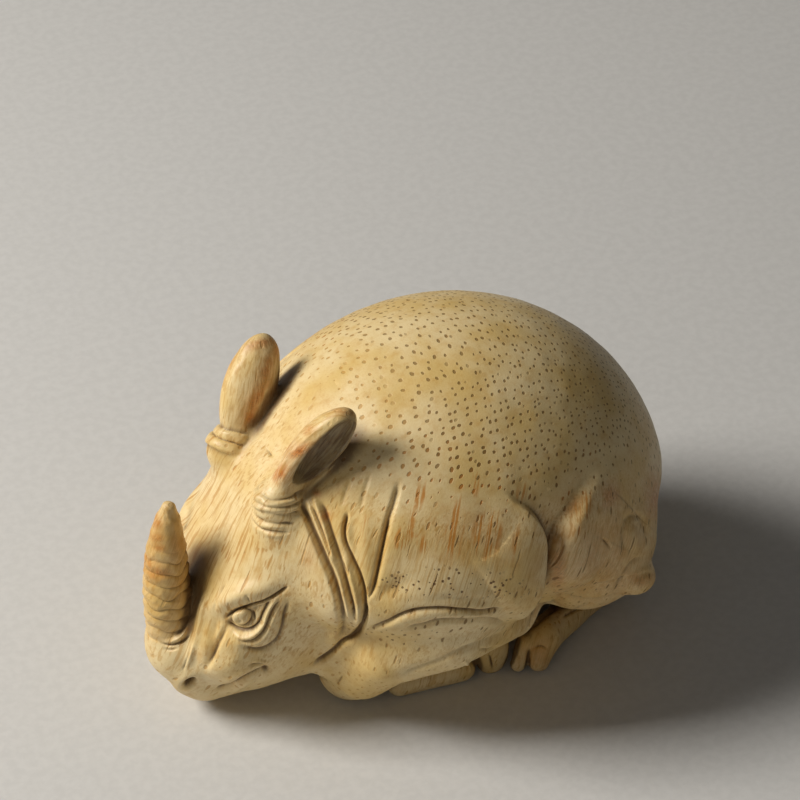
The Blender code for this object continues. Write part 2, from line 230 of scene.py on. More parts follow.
def sampled():
    """The form on an even grid. Away from the surface only its sign is kept."""
    h = GRID_STEP
    side = h * BLOCK
    count = [int(math.ceil(s / side)) for s in GRID_SIZE]
    middles = [GRID_LOW[i] + side * (np.arange(count[i]) + 0.5) - h / 2 for i in range(3)]
    blocks = np.stack(np.meshgrid(*middles, indexing="ij"), -1).reshape(-1, 3)
    rough = in_parts(form, blocks.astype(np.float32))
    near = np.where(np.abs(rough) < side * 0.87 + BLOCK_BAND)[0]
    offsets = (np.arange(BLOCK) - (BLOCK - 1) / 2) * h
    inner = np.stack(np.meshgrid(offsets, offsets, offsets, indexing="ij"), -1).reshape(-1, 3)
    points = (blocks[near][:, None] + inner[None]).reshape(-1, 3).astype(np.float32)
    fine = in_parts(form, points).reshape(len(near), BLOCK, BLOCK, BLOCK)
    whole = np.empty((len(blocks), BLOCK, BLOCK, BLOCK), np.float32)
    whole[:] = np.sign(rough)[:, None, None, None]
    whole[near] = fine
    whole = whole.reshape(*count, BLOCK, BLOCK, BLOCK).transpose(0, 3, 1, 4, 2, 5)
    return whole.reshape([c * BLOCK for c in count])


def net(d):
    """Surface net: a vertex in each grid cell that the surface crosses, and a quad round each crossed edge."""
    inside = d < 0
    parts = [(i, j, k) for i in (0, 1) for j in (0, 1) for k in (0, 1)]
    full = tuple(n - 1 for n in d.shape)

    def corner(a, c):
        return a[c[0] : c[0] + full[0], c[1] : c[1] + full[1], c[2] : c[2] + full[2]]

    total = sum(corner(inside, c).astype(np.int8) for c in parts)
    cells = np.argwhere((total > 0) & (total < 8))
    ids = np.full(full, -1, np.int32)
    ids[tuple(cells.T)] = np.arange(len(cells))
    value = {c: d[cells[:, 0] + c[0], cells[:, 1] + c[1], cells[:, 2] + c[2]] for c in parts}
    place = np.zeros((len(cells), 3), np.float64)
    hits = np.zeros(len(cells))
    for a in parts:
        for axis in range(3):
            if a[axis]:
                continue
            b = tuple(1 if i == axis else a[i] for i in range(3))
            va, vb = value[a], value[b]
            crossed = (va < 0) != (vb < 0)
            t = np.where(crossed, va / np.where(crossed, va - vb, 1), 0)
            for i in range(3):
                place[:, i] += crossed * (a[i] + (t if i == axis else 0))
            hits += crossed
    points = np.array(GRID_LOW) + GRID_STEP * (cells + place / hits[:, None])
    quads = []
    for axis in range(3):
        one, two = [(1, 2), (2, 0), (0, 1)][axis]
        ahead = [slice(None)] * 3
        ahead[axis] = slice(1, None)
        here = [slice(None)] * 3
        here[axis] = slice(None, -1)
        start = inside[tuple(here)]
        edges = np.argwhere(start != inside[tuple(ahead)])
        edges = edges[(edges[:, one] > 0) & (edges[:, two] > 0)]
        edges = edges[(edges[:, one] < full[one]) & (edges[:, two] < full[two])]
        ring = []
        for back_one, back_two in ((1, 1), (0, 1), (0, 0), (1, 0)):
            cell = edges.copy()
            cell[:, one] -= back_one
            cell[:, two] -= back_two
            ring.append(ids[tuple(cell.T)])
        ring = np.stack(ring, 1)
        outward = start[tuple(edges.T)]
        quads.append(np.where(outward[:, None], ring, ring[:, ::-1]))
    return points, np.concatenate(quads)


def slope(field, p, step=0.04):
    """The field's gradient, from the corners of a small tetrahedron."""
    corners = np.array([[1, -1, -1], [-1, -1, 1], [-1, 1, -1], [1, 1, 1]], np.float32)
    return sum(c * in_parts(field, p + step * c)[:, None] for c in corners) / (4 * step)


def directions(p):
    g = slope(form, p)
    return g / np.maximum(np.linalg.norm(g, axis=1), 1e-6)[:, None]


def settled(p, steps=2):
    """The points moved onto the surface."""
    p = p.astype(np.float32)
    for _ in range(steps):
        d = in_parts(form, p)
        g = slope(form, p)
        size = np.maximum((g * g).sum(1), 0.25)
        p = p - np.clip(d / size, -0.3, 0.3)[:, None] * g
    return p


def split(points, faces, wanted):
    """Cuts each wanted triangle in four, and its neighbours so that no crack is left."""
    ends = np.concatenate([faces[:, [0, 1]], faces[:, [1, 2]], faces[:, [2, 0]]])
    ends = np.sort(ends, axis=1)
    key = ends[:, 0].astype(np.int64) * len(points) + ends[:, 1]
    unique, inverse = np.unique(key, return_inverse=True)
    inverse = inverse.reshape(3, -1).T
    cut = np.zeros(len(unique), bool)
    cut[inverse[wanted].ravel()] = True
    number = np.full(len(unique), -1, np.int64)
    number[cut] = len(points) + np.arange(cut.sum())
    a, b = unique[cut] // len(points), unique[cut] % len(points)
    points = np.concatenate([points, (points[a] + points[b]) / 2])
    mids = number[inverse]
    has = mids >= 0
    count = has.sum(1)
    made = [faces[count == 0]]
    f, m = faces[count == 3], mids[count == 3]
    made += [
        np.stack([f[:, 0], m[:, 0], m[:, 2]], 1),
        np.stack([m[:, 0], f[:, 1], m[:, 1]], 1),
        np.stack([m[:, 2], m[:, 1], f[:, 2]], 1),
        m,
    ]
    for turn in range(3):
        order = [(turn + i) % 3 for i in range(3)]
        f, m, h = faces[:, order], mids[:, order], has[:, order]
        one = (count == 1) & h[:, 0]
        made += [
            np.stack([f[one, 0], m[one, 0], f[one, 2]], 1),
            np.stack([m[one, 0], f[one, 1], f[one, 2]], 1),
        ]
        two = (count == 2) & h[:, 0] & h[:, 1]
        made += [
            np.stack([m[two, 0], f[two, 1], m[two, 1]], 1),
            np.stack([f[two, 0], m[two, 0], m[two, 1]], 1),
            np.stack([f[two, 0], m[two, 1], f[two, 2]], 1),
        ]
    return points, np.concatenate(made)


# ---------------------------------------------------------------- the view the carving is laid out in

VIEW_AZIMUTH, VIEW_ELEVATION = math.radians(-25.0), math.radians(40.0)
VIEW_DISTANCE = 430.0
VIEW_SCALE = 8.8  # picture points to a millimetre, at the distance of the target
VIEW_TARGET = np.array([2.809, 9.304, 26.463])
FRAME_SIDE = 800

TOWARDS = np.array(
    [
        math.sin(VIEW_AZIMUTH) * math.cos(VIEW_ELEVATION),
        -math.cos(VIEW_AZIMUTH) * math.cos(VIEW_ELEVATION),
        math.sin(VIEW_ELEVATION),
    ]
)
RIGHT = np.array([math.cos(VIEW_AZIMUTH), math.sin(VIEW_AZIMUTH), 0.0])
UPWARD = np.cross(TOWARDS, RIGHT)
EYE = VIEW_TARGET + VIEW_DISTANCE * TOWARDS


def laid_out(p):
    """Where points come in the layout, x to the right and y down."""
    q = p - EYE
    depth = -(q @ TOWARDS)
    scale = VIEW_DISTANCE * VIEW_SCALE / depth
    return np.stack([FRAME_SIDE / 2 + scale * (q @ RIGHT), FRAME_SIDE / 2 - scale * (q @ UPWARD)], 1)


def smooth(low, high, value):
    t = np.clip((value - low) / (high - low), 0, 1)
    return t * t * (3 - 2 * t)


def spline(points, spacing=2.5):
    """A smooth line through the points."""
    p = np.array(points, float)
    p = np.concatenate([[2 * p[0] - p[1]], p, [2 * p[-1] - p[-2]]])
    made = []
    for i in range(1, len(p) - 2):
        n = max(int(np.linalg.norm(p[i + 1] - p[i]) / spacing), 1)
        t = (np.arange(n) / n)[:, None]
        a, b, c, d = p[i - 1], p[i], p[i + 1], p[i + 2]
        made.append(
            0.5 * (2 * b + (c - a) * t + (2 * a - 5 * b + 4 * c - d) * t**2 + (3 * b - 3 * c + d - a) * t**3)
        )
    made.append(p[-2][None])
    return np.concatenate(made)


def beside(uv, line):
    """For each place: how far it is from the line, to its left as positive, and how far along it the nearest point is."""
    best = np.full(len(uv), 1e9)
    side = np.zeros(len(uv))
    where = np.zeros(len(uv))
    run = np.linalg.norm(np.diff(line, axis=0), axis=1)
    before = np.concatenate([[0], np.cumsum(run)])
    for i, (a, b) in enumerate(zip(line[:-1], line[1:])):
        step = b - a
        q = uv - a
        t = np.clip((q @ step) / max(step @ step, 1e-9), 0, 1)
        off = q - t[:, None] * step
        d = (off * off).sum(1)
        closer = d < best
        best = np.where(closer, d, best)
        side = np.where(closer, step[1] * q[:, 0] - step[0] * q[:, 1], side)
        where = np.where(closer, before[i] + t * run[i], where)
    return np.sqrt(best), np.sign(side), where, before[-1]


class Sheet:
    """Places in the layout, and how much each takes of what is carved there."""

    def __init__(self, uv, weight):
        self.index = np.where(weight > 0.001)[0]
        self.uv = uv[self.index]
        self.weight = weight[self.index]
        self.order = np.argsort(self.uv[:, 0])
        self.xs = self.uv[self.order, 0]
        self.count = len(uv)

    def near(self, line, reach):
        low, high = line.min(0) - reach, line.max(0) + reach
        i = self.order[np.searchsorted(self.xs, low[0]) : np.searchsorted(self.xs, high[0])]
        y = self.uv[i, 1]
        return i[(y > low[1]) & (y < high[1])]

    def stroke(self, height, points, width, depth):
        """A groove (depth under 0) or a ridge, tapering at both ends over a length that goes with its width."""
        line = spline(points)
        i = self.near(line, width * 3.2)
        if not len(i):
            return
        d, _, where, total = beside(self.uv[i], line)
        end = min(max(8.0, 6.0 * width), 0.45 * total)
        fade = smooth(0, end, where + 0.5) * smooth(0, end, total - where + 0.5)
        np.add.at(height, self.index[i], self.weight[i] * depth * fade * np.exp(-((d / width) ** 2)))

    def step(self, height, points, sharp, rise, rise_reach, drop, drop_reach, ends=(25, 25)):
        """An edge: raised to the left of the line, cut away to its right."""
        line = spline(points)
        i = self.near(line, max(rise_reach, drop_reach) * 2.2)
        if not len(i):
            return
        d, side, where, total = beside(self.uv[i], line)
        fade = smooth(0, ends[0], where + 0.5) * smooth(0, ends[1], total - where + 0.5)
        s = d * side
        up = rise * np.exp(-((np.maximum(s, 0) / rise_reach) ** 2)) * smooth(-sharp, sharp, s)
        down = drop * np.exp(-((np.minimum(s, 0) / drop_reach) ** 2)) * smooth(-sharp, sharp, -s)
        np.add.at(height, self.index[i], self.weight[i] * fade * (up - down))

    def mound(self, height, centre, radii, turn, rise, crisp=False):
        """A bump or a hollow; a crisp one is a dome with an edge."""
        c, s = math.cos(math.radians(turn)), math.sin(math.radians(turn))
        reach = max(radii) * (1.1 if crisp else 2.6)
        i = self.near(np.array([centre, centre], float), reach)
        q = self.uv[i] - np.array(centre)
        a = (q[:, 0] * c + q[:, 1] * s) / radii[0]
        b = (-q[:, 0] * s + q[:, 1] * c) / radii[1]
        d = a * a + b * b
        shape = np.sqrt(np.maximum(1 - d, 0)) if crisp else np.exp(-d)
        np.add.at(height, self.index[i], self.weight[i] * rise * shape)


# Strokes: name, half width, height in millimetres (under 0 is cut in), points of the line.
FACE_STROKES = [
    ("upper lid", 1.8, -0.60, [(222, 621), (228, 614.5), (237, 610.5), (246, 607.6), (252, 605.6), (262, 602.6), (271, 598), (281, 591.6), (289, 585)]),
    ("lid fold", 1.4, -0.22, [(252, 609.5), (262, 607), (272, 601.5)]),
    ("lower lid", 1.6, -0.45, [(224, 621), (227, 626), (234, 631), (243, 632.8), (252, 631), (259, 625), (262.5, 616), (267, 606.5), (272, 600.5)]),
    ("lower rim", 2.1, 0.38, [(230, 635), (243, 637.2), (253, 634.8), (262.5, 626.5), (266.5, 616), (271, 606), (278, 598.5)]),
    ("under the rim", 1.4, -0.26, [(239, 641.5), (253, 639.8), (263.5, 632), (268.5, 621), (273.5, 609), (281, 599)]),
    ("second rim", 1.9, 0.22, [(247, 644), (259, 641), (268, 631.5), (274, 618), (281, 604)]),
    ("bag", 2.4, -0.42, [(238, 644.5), (250, 648.5), (256, 650), (264, 649), (271, 645.3), (278, 638.5), (282.5, 627), (285, 612), (290, 598)]),
    ("tear groove", 3.4, -0.66, [(228, 624), (221, 635), (214.5, 648), (209.5, 660), (205, 674)]),
    ("snout trough", 4.6, -0.38, [(218, 608), (213, 630), (210, 648), (204, 674)]),
    ("snout ridge", 3.6, 0.36, [(208, 588), (201, 618), (195.5, 641), (188.5, 660), (183, 672)]),
    ("snout line", 1.1, -0.14, [(206, 594), (198.5, 622), (193.5, 643), (186.5, 661), (182, 672)]),
    ("temple line", 1.3, -0.15, [(226, 582), (220, 598), (216, 612)]),
    ("brow nick", 1.3, -0.34, [(249, 592), (249, 606)]),
    ("eye corner", 1.3, -0.30, [(250.5, 613), (254.8, 625.5)]),
    ("mouth", 1.6, -0.62, [(214, 690), (222.4, 687.4), (234, 683.8), (246, 676.8), (257.6, 671), (264.5, 668)]),
    ("lower lip", 2.8, 0.34, [(222, 692), (236, 688.4), (248, 681.6), (260, 675)]),
    ("upper lip", 2.4, 0.18, [(218, 683), (232, 678.5), (245, 671), (258, 665)]),
    ("corner wrinkle", 1.2, 0.20, [(250, 661.5), (259, 660.8), (269, 662)]),
    ("corner groove", 1.2, -0.24, [(247, 666), (256, 664.2), (268, 665.2)]),
    ("jaw line", 3.0, -0.14, [(262, 676), (275, 664), (285, 650), (290, 634)]),
    ("boss rim", 3.2, 0.55, [(146, 615), (151, 625), (158.5, 635), (169.4, 639), (180, 635.5), (189, 625), (194, 612)]),
    ("boss groove", 1.7, -0.42, [(150, 619), (157.5, 630.5), (167.5, 635), (178, 632), (186.5, 621.5), (191.5, 608)]),
    ("boss wrinkle", 1.5, -0.28, [(158, 641.5), (169.5, 645), (182, 641.5), (190, 634)]),
    ("second wrinkle", 1.4, -0.18, [(162, 648), (170, 650), (180, 647.5)]),
]
FACE_MOUNDS = [
    ("brow", (234, 597), (25, 10), -24, 0.85, False),
    ("outer brow", (262, 590), (20, 8), -30, 0.30, False),
    ("socket", (243, 620), (21, 13), -20, -1.05, False),
    ("eyeball", (239.8, 619.0), (9.8, 8.6), 0, 1.05, True),
    ("pupil", (238.6, 622.4), (3.0, 2.8), 0, -0.30, False),
    ("under the eye", (248, 641), (20, 7), -8, 0.25, False),
    ("cheekbone", (286, 655), (16, 11), -30, 0.20, False),
    ("nostril rim", (189.0, 679.5), (13.5, 9.0), -32, 0.75, False),
    ("nostril", (189.6, 681.0), (5.6, 3.4), -32, -2.6, False),
    ("mouth corner", (265.5, 669.6), (3.6, 3.0), 0, -0.55, False),
    ("muzzle side", (232, 664), (14, 9), -35, 0.22, False),
]
POLL_STROKES = [
    ("fold line", 1.3, -0.28, [(254, 420), (260, 425), (268, 429.5), (276, 437), (282, 440.5)]),
    ("lower line", 1.3, -0.28, [(247, 440), (259, 444.7), (267, 451), (274, 458)]),
    ("fold", 6.5, 0.30, [(250, 430), (262, 435), (271, 442), (278, 450)]),
    ("crown fold", 3.0, 0.30, [(283, 365), (290, 357), (299, 349)]),
    ("crown line", 1.6, -0.30, [(278, 372), (285, 362), (293, 353)]),
]
NECK_STROKES = [
    ("ridge A", 3.0, 0.50, [(306, 496), (310, 506), (318, 526), (326, 545), (333, 561), (340, 577), (344.5, 595), (348.5, 612), (347.5, 625)]),
    ("ridge B", 2.8, 0.46, [(312, 492), (315.5, 500), (322, 516.5), (327.5, 533), (331, 545), (337, 563)]),
    ("between them", 1.2, -0.26, [(312, 505), (320, 524), (327, 541), (333, 558)]),
    ("behind the cheek", 2.6, -0.34, [(299, 500), (308, 521), (317, 541), (325, 560), (333, 579), (338, 597), (341, 613), (341, 627)]),
    ("behind ridge B", 2.2, -0.36, [(321, 500), (330, 528), (338, 552), (344, 572), (348.5, 590), (352.8, 607), (353.5, 623)]),
    ("ridge C", 3.0, 0.34, [(342, 551), (348, 567), (353, 583), (357.5, 601.5), (359, 616), (356.5, 631)]),
    ("leaf edge", 1.1, -0.24, [(342.5, 559), (346, 569), (352, 577)]),
    ("crease C", 2.1, -0.60, [(348, 510), (346, 518), (343.8, 531.4), (345.7, 543.5), (353, 559.7), (360, 574.6), (364, 592), (364.5, 609.7), (363.5, 624)]),
    ("lip of C", 3.4, 0.20, [(350, 513), (348.5, 531), (350.5, 543), (358, 557)]),
    ("crease D", 3.0, -0.42, [(400, 478), (393.6, 503), (388, 520.5), (383, 543.5), (379, 563.8), (374, 585.4), (368.5, 600.3)]),
    ("inner D", 1.5, -0.22, [(389, 518), (383, 545), (378.5, 565), (373.2, 587), (367.5, 602)]),
    ("fold C to D", 9.0, 0.30, [(366, 500), (365.5, 540), (367, 575), (366.5, 598)]),
    ("fold behind D", 14.0, 0.22, [(408, 492), (398, 525), (391, 555), (381, 588), (371, 603)]),
    ("crease E", 2.4, -0.18, [(352, 476), (346, 490), (341, 508)]),
    ("crease F", 2.2, -0.14, [(372, 470), (364, 492), (360, 512)]),
    ("main crease", 2.8, -0.85, [(366.5, 602), (364.5, 615), (361, 627.5), (353, 637), (342, 643.5), (334, 651), (322, 660), (309, 668)]),
]
ARM_STROKES = [
    ("upper crease", 2.0, -0.42, [(366, 631), (382, 624.5), (390, 621), (398, 616.5), (409.9, 611.8), (425, 609.2), (444, 608.6), (464, 610.5), (484, 611.5), (504, 608)]),
    ("fold", 4.2, 0.18, [(374, 633), (395, 625), (410, 619.5), (425, 616.5), (448, 614), (470, 615.5), (495, 615)]),
    ("lower crease", 2.4, -0.38, [(402, 629.5), (410.6, 628), (423, 625.8), (434.6, 622), (446, 620.4), (465.4, 620.4), (482.7, 619.3), (497, 621), (510, 624.5)]),
    ("front hollow", 8.0, -0.3, [(368, 603), (376, 598.5), (383, 594.5), (392.3, 589), (404, 584.5), (420, 582)]),
    ("faint fold", 4.0, -0.16, [(420, 601), (445, 599), (470, 599.5), (500, 603)]),
    ("under the forearm", 3.4, -0.30, [(394, 681), (407.7, 672.5), (423, 666.5), (438.5, 660.8), (453.8, 653.4), (469.2, 646.8), (484.6, 641.2), (503.8, 633.5), (513, 627)]),
    ("forearm hollow", 6.0, -0.22, [(408, 652), (430, 644), (455, 636), (480, 630)]),
    ("knee nick", 1.1, -0.22, [(336, 686), (343.5, 674)]),
    ("forefoot cleft", 1.5, -0.38, [(488, 652), (491, 662), (493, 673)]),
    ("forefoot crease", 1.5, -0.28, [(478, 648), (488, 650), (500, 645)]),
    ("leg end", 1.6, 0.20, [(462, 658), (469, 667), (470, 677)]),
]
HIND_STROKES = [
    ("under the thigh", 2.6, -0.55, [(559, 596), (579, 601), (597, 602), (612, 598.5), (624, 592.5)]),
    ("front roll", 12.0, 0.25, [(600, 482), (588, 505), (580, 530), (578, 555), (582, 580)]),
    ("behind the roll", 11.0, -0.16, [(602, 512), (597, 540), (599, 572)]),
    ("oval groove", 3.4, -0.32, [(621, 556), (621.5, 542), (622.5, 530), (626, 519.5), (632, 515.5), (639, 517), (644, 524), (645.7, 534), (645.5, 546)]),
    ("oval heart", 5.0, 0.30, [(633.5, 524), (633, 558)]),
    ("small mark", 1.6, -0.30, [(598, 537.5), (604, 541), (609.5, 549)]),
    ("over the hock", 2.4, -0.26, [(613, 592), (619, 582), (625, 570), (633, 560.5), (646, 554)]),
    ("hind cleft", 1.6, -0.45, [(529.5, 646), (528, 660), (527, 675)]),
    ("toe line", 1.4, -0.25, [(531, 649), (540, 646), (550, 650)]),
    ("shank crease", 1.6, -0.25, [(560, 618), (578, 609), (596, 604.5)]),
]
SHOULDER_EDGE = [(498, 489), (508, 495), (517.7, 502.5), (531, 511.4), (541.8, 524), (549, 540), (549.8, 556), (548, 575.7), (541.8, 593.6), (531, 607.9), (516.8, 620.4), (508, 626)]
THIGH_EDGE = [(561, 598), (557.9, 588), (557, 565), (558.5, 548), (563, 536.4), (566.8, 524), (574, 511.4), (581, 497), (588, 486.4), (595.4, 475.7), (604.3, 468.6), (615, 461.4), (628, 455)]
CHEEK_EDGE = [(298, 498), (307, 520), (316, 541), (324, 560), (332, 579), (337.5, 597), (340.5, 613), (340, 630), (330, 646)]

HORN_RING_APART = 0.0845  # shares of the horn's length
HORN_RING_RISE = 0.25
HORN_SMOOTH_TIP = 0.78  # share of the horn's length that is ringed
EAR_WRINKLES = ((-1.5, 0.20), (-0.35, 0.32), (0.65, 0.26), (1.5, 0.34), (2.4, 0.22))  # near ear: place up the stalk and rise
COLLAR = ((0.3, 1.45, 0.40), (1.6, 2.75, 0.46))  # far ear: from, to and rise of each band


def value_noise(p, seed):
    """Smooth noise from -1 to 1, a lattice to the unit."""
    base = np.floor(p).astype(np.int64)
    f = p - base
    f = f * f * (3 - 2 * f)
    total = np.zeros(len(p))
    for i in range(8):
        corner = np.array([i & 1, (i >> 1) & 1, (i >> 2) & 1])
        c = base + corner
        n = (c[:, 0] * 73856093) ^ (c[:, 1] * 19349663) ^ (c[:, 2] * 83492791) ^ (seed * 2654435761)
        n = (n ^ (n >> 13)) * 1274126177
        n = (n ^ (n >> 16)) & 0xFFFF
        w = np.prod(np.where(corner == 1, f, 1 - f), axis=1)
        total += w * (n / 32767.5 - 1)
    return total


def in_two_parts(work, points, size=60000):
    made = [work(points[i : i + size]) for i in range(0, len(points), size)]
    return np.concatenate([m[0] for m in made]), np.concatenate([m[1] for m in made])


def relief(p, n):
    """What is carved at each point of the form: a height along its normal, and how much each ear and the horn own it."""
    near_side = p[:, 1] < 0
    q = p.copy()
    q[:, 1] = -np.abs(q[:, 1])
    nq = n.copy()
    nq[:, 1] = np.where(near_side, nq[:, 1], -nq[:, 1])
    facing = smooth(-0.04, 0.14, nq @ TOWARDS)
    uv = laid_out(q)
    horn_d = in_parts(lambda a: limb(a, horn_line()), q.astype(np.float32))
    on_horn = smooth(0.45, 0.10, horn_d)
    height = np.zeros(len(p))

    ears = []
    for side, placed in ((near_side, NEAR_EAR), (~near_side, FAR_EAR)):
        leaf, stalk = in_two_parts(lambda a: ear(a, *placed), q.astype(np.float32))
        e = ear_place(q, *placed[:2])
        within = np.abs(ball(e, EAR_HOLLOW_AT, EAR_HOLLOW_HALF, WORLD_AXES, 2))
        ears.append(
            {
                "leaf": smooth(0.40, 0.10, leaf) * side,
                "stalk": smooth(0.75, 0.15, stalk) * side,
                "within": smooth(0.42, 0.12, within) * smooth(0.40, 0.10, np.minimum(leaf, stalk)) * smooth(3.2, 4.6, e[:, 0]) * side,
                "place": e,
            }
        )
    on_ear = np.maximum(ears[0]["leaf"], ears[1]["leaf"])
    on_ear = np.maximum(on_ear, np.maximum(ears[0]["stalk"], ears[1]["stalk"]) * 0.9)

    skin = Sheet(uv, facing * (1 - on_horn) * (1 - on_ear))
    for table in (FACE_STROKES, POLL_STROKES, NECK_STROKES, ARM_STROKES, HIND_STROKES):
        for name, width, depth, points in table:
            skin.stroke(height, points, width, depth)
    for name, centre, radii, turn, rise, crisp in FACE_MOUNDS:
        skin.mound(height, centre, radii, turn, rise, crisp)
    skin.step(height, SHOULDER_EDGE[::-1], 3.6, 0.80, 44, 0.95, 18, (25, 75))
    skin.step(height, THIGH_EDGE[::-1], 8.0, 0.75, 60, 0.80, 24, (110, 25))
    skin.step(height, CHEEK_EDGE[::-1], 3.2, 0.40, 26, 0.28, 9)

    # horn: scalloped rings, each a little uneven, and worn smooth near the tip
    axis = np.subtract(HORN_TIP, HORN_ROOT)
    t = ((q - np.array(HORN_ROOT)) @ axis) / (axis @ axis)
    turn = np.arctan2(p[:, 1], -(p[:, 0] - HORN_ROOT[0]))
    wander = value_noise(np.stack([turn * 1.6, t * 9, t * 0], 1), 3)
    wave = t / HORN_RING_APART + 0.26 * wander
    scallop = np.abs(np.sin(np.pi * wave)) ** 0.6 - 0.62
    chips = value_noise(np.stack([turn * 5, t * 38, t * 0], 1), 5)
    fade = smooth(HORN_SMOOTH_TIP + 0.04, HORN_SMOOTH_TIP - 0.10, t) * smooth(-0.02, 0.05, t)
    height += on_horn * HORN_RING_RISE * (scallop * (1 + 0.35 * chips) + 0.16 * chips) * fade
    fibres = value_noise(np.stack([turn * 4.5, t * 7, t * 0], 1), 6)
    height += on_horn * 0.035 * fibres * smooth(HORN_SMOOTH_TIP - 0.14, HORN_SMOOTH_TIP + 0.05, t)

    # near ear: soft wrinkles round the stalk, folds running up from them into the leaf, and hairy scratches on its back
    one = ears[0]
    root, tip, foot = (np.array(v) for v in NEAR_EAR)
    up = unit(root - foot)
    rise = (q - root) @ up
    aside = np.cross(up, [0.0, 1.0, 0.0])
    round_it = np.arctan2((q - root) @ np.cross(up, aside), (q - root) @ aside)
    uneven = value_noise(np.stack([round_it * 1.1, rise * 0.5, rise * 0], 1), 11)
    fine = value_noise(np.stack([round_it * 2.6, rise * 1.3, rise * 0], 1), 12)
    level = rise + 1.6 + 0.30 * uneven + 0.10 * fine
    for at, lift in EAR_WRINKLES:
        height += one["stalk"] * lift * (1 + 0.5 * fine) * np.exp(-(((level - at) / 0.40) ** 2))
        height -= one["stalk"] * 0.15 * (1 + 0.6 * uneven) * np.exp(-(((level - at - 0.52) / 0.19) ** 2))
    e = one["place"]
    back = one["leaf"] * (1 - one["within"]) * smooth(0.6, -0.4, e[:, 2]) * smooth(13.5, 11.5, e[:, 0])
    spread = np.arctan2(e[:, 1], -e[:, 2] + 0.6) * 1.9
    furrow = value_noise(np.stack([spread * 2.4 + 0.10 * e[:, 0], e[:, 0] * 0.16, spread * 0], 1), 15)
    furrow += 0.5 * value_noise(np.stack([spread * 5.2, e[:, 0] * 0.30, spread * 0], 1), 16)
    height += back * 0.15 * furrow * smooth(1.5, 4.0, e[:, 0])
    # far ear: a collar of two bands
    one = ears[1]
    e = one["place"]
    level = e[:, 0] + 0.12 * value_noise(e * 0.9, 13) - 0.10 * e[:, 1]
    banded = np.maximum(one["leaf"], one["stalk"])
    for low, high, lift in COLLAR:
        height += banded * lift * smooth(low - 0.12, low + 0.18, level) * smooth(high + 0.12, high - 0.18, level)
    height += one["leaf"] * 0.05 * value_noise(np.stack([e[:, 1] * 1.6, e[:, 0] * 0.4, e[:, 2] * 1.6], 1), 17)

    # the knife's faint unevenness, in facets over the broad forms
    height += 0.040 * value_noise(p * 0.55, 21) + 0.012 * value_noise(p * 1.9, 22)
    return height, on_horn, ears, uv, facing


# ---------------------------------------------------------------- the piece

GRAIN_BACK_LOW, GRAIN_BACK_LESS = 0.50, 0.18  # how far the root's bundles lean back for each millimetre up
GRAIN_INWARD, GRAIN_OUTWARD = 0.32, 0.86  # their lean across: inward low down, and by this much less on top
GRAIN_TURN_LOW, GRAIN_TURN_SPAN = 26.5, 12.0  # the heights between which they turn
DOTS_APART, DOTS_CLOSING = 1.03, 0.0085  # millimetres between bundles amidships, and how they close up to the rear
ARM_DOTS_APART = 0.62

# Where the bundles show how, in the layout: centre, radii, turn and strength.
WARM_BUNDLES = [
    ((455, 500), (80, 30), 0, 0.8),
    ((400, 465), (60, 50), 0, 0.45),
    ((245, 560), (70, 80), 0, 0.55),
    ((575, 510), (22, 60), 20, 0.6),
]
STREAK_LEAN_DEG = 9.0
STREAKS = [
    ((455, 532), (8, 34), 8, 1.0),
    ((487, 535), (14, 25), 8, 1.0),
    ((411, 524), (5, 24), 8, 0.9),
    ((421, 495), (7, 16), 14, 0.8),
    ((400, 541), (6, 14), 4, 0.9),
    ((423, 545), (6, 12), 4, 0.8),
    ((476, 483), (5, 16), 4, 0.8),
    ((516, 545), (6, 26), 4, 0.7),
    ((522, 494), (8, 15), 4, 0.6),
    ((582, 505), (8, 20), 18, 0.7),
    ((365, 528), (6, 30), 14, 0.5),
]
LARGE_BUNDLES = [((445, 452), (95, 38), 8, 1.0), ((400, 560), (30, 30), 0, 0.4)]
ARM_BUNDLES = [((452, 583), (72, 15), 2, 1.0), ((392, 582), (20, 12), 0, 0.6)]

# Stains in the layout: centre, radii, turn and strength.
SKIN_STAINS = [
    ((326, 515), (4, 5), 0, 0.9),
    ((317, 493), (4, 3.5), 0, 0.8),
    ((310, 556), (7, 18), 15, 0.35),
    ((608, 497), (11, 14), 20, 0.75),
    ((655, 498), (10, 22), 0, 0.7),
    ((575, 505), (5, 12), 30, 0.6),
    ((600, 560), (60, 60), 0, 0.35),
    ((560, 570), (7, 40), 0, 0.6),
    ((640, 580), (22, 12), 0, 0.45),
    ((470, 535), (55, 28), 0, 0.22),
    ((540, 655), (20, 20), 0, 0.35),
    ((190, 628), (6, 6), 0, 0.35),
]
HORN_STAINS = [
    ((157, 523), (6, 6), 0, 1.0),
    ((158, 538), (8, 5), 10, 0.9),
    ((160, 548), (8, 4), 5, 0.9),
    ((150, 563), (5, 7), 0, 0.9),
    ((158, 573), (12, 7), -5, 1.0),
    ((178, 548), (10, 22), 0, 0.45),
    ((182, 585), (8, 20), 0, 0.35),
]
NEAR_EAR_STAINS = [
    ((300, 451), (15, 6), -28, 1.0),
    ((308, 430), (7, 4), -30, 0.8),
    ((280, 473), (12, 9), -30, 1.0),
    ((288, 447), (9, 9), 0, 0.5),
    ((345, 412), (16, 4), 10, 0.6),
]
FAR_EAR_STAINS = [
    ((267, 368), (6, 16), 20, 0.9),
    ((257, 398), (8, 26), 25, 0.85),
    ((250, 417), (7, 10), 20, 0.9),
    ((262, 343), (22, 5), -12, 0.75),
    ((226, 366), (5, 22), 28, 0.6),
    ((233, 440), (14, 5), 0, 0.8),
    ((277, 350), (5, 10), 0, 0.8),
]


